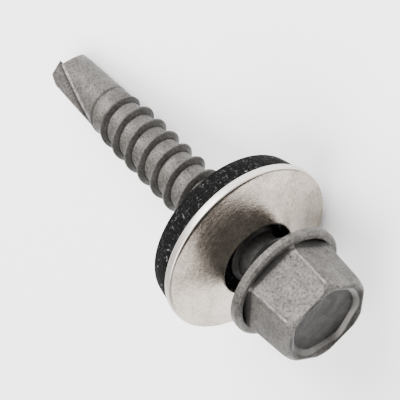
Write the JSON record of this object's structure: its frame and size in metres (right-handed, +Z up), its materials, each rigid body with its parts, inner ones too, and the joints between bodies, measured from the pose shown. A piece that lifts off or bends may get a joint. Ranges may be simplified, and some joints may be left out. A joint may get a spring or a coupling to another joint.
{
  "type": "self drilling screw",
  "caption": "Hexagon flange head self drilling screw with a coarse thread, a fluted drill point and a dished metal and rubber sealing washer on its shank.",
  "frame": {"origin": "centre of the bounding box's bottom, on the floor under the screw as it lies", "axes": "+X along the floor towards the head, +Z up; the screw's axis rises by 13.0 degrees towards +X"},
  "size_m": [0.0382, 0.016, 0.0157],
  "materials": {
    "zinc_steel": "matt mottled zinc",
    "washer_metal": "satin",
    "rubber": "matt black"
  },
  "bodies": {
    "screw": {"screw": "zinc_steel"},
    "washer_group": {"washer": "washer_metal", "seal": "rubber"}
  },
  "joints": [
    {"name": "washer_slide", "type": "slide", "parent": "screw", "child": "washer_group", "axis": [0.9742, 0, 0.2256], "range_m": [-0.0165, 0.0022]}
  ]
}
